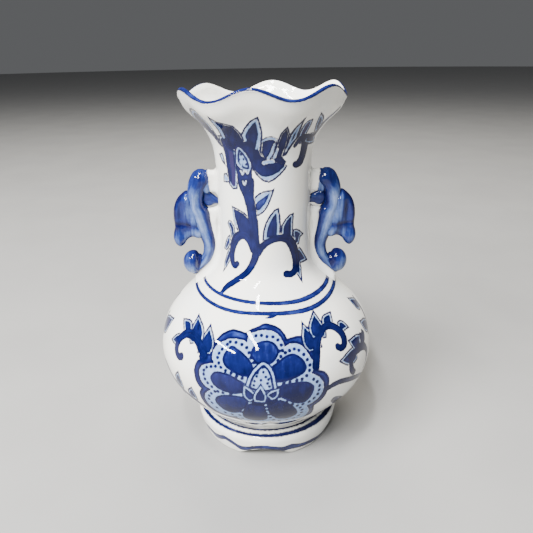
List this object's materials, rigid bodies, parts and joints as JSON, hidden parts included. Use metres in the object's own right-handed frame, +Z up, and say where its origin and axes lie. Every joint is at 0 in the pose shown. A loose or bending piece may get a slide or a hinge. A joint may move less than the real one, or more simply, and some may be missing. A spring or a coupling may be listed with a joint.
{
  "type": "vase with ruffled mouth and scroll handles",
  "caption": "Glazed vase with a round belly, scalloped foot, slender neck, ruffled flared mouth and two scroll handles with ear flaps, painted with cobalt flowers.",
  "frame": {"origin": "centre of the foot, on the surface that the vase stands on", "axes": "+Z up along the vase's axis, the painted front faces -Y, the handles lie on -X and +X"},
  "size_m": [0.154, 0.154, 0.2521],
  "materials": {
    "white_glaze": "glossy clear glaze over warm white body, painted in cobalt blue",
    "blue_wash_glaze": "glossy clear glaze over a streaky cobalt wash",
    "dark_blue_glaze": "glossy clear glaze over solid cobalt"
  },
  "bodies": {
    "root": {"foot_ring": "white_glaze", "lower_belly": "white_glaze", "upper_belly": "white_glaze", "neck": "white_glaze", "ruffled_mouth": "white_glaze", "stub_left": "white_glaze", "stub_right": "white_glaze", "web_left": "white_glaze", "web_right": "white_glaze", "trunk_left": "blue_wash_glaze", "trunk_right": "blue_wash_glaze", "ear_left": "blue_wash_glaze", "ear_right": "blue_wash_glaze", "curl_left": "blue_wash_glaze", "curl_right": "blue_wash_glaze", "tusk_left": "dark_blue_glaze", "tusk_right": "dark_blue_glaze"}
  },
  "joints": []
}
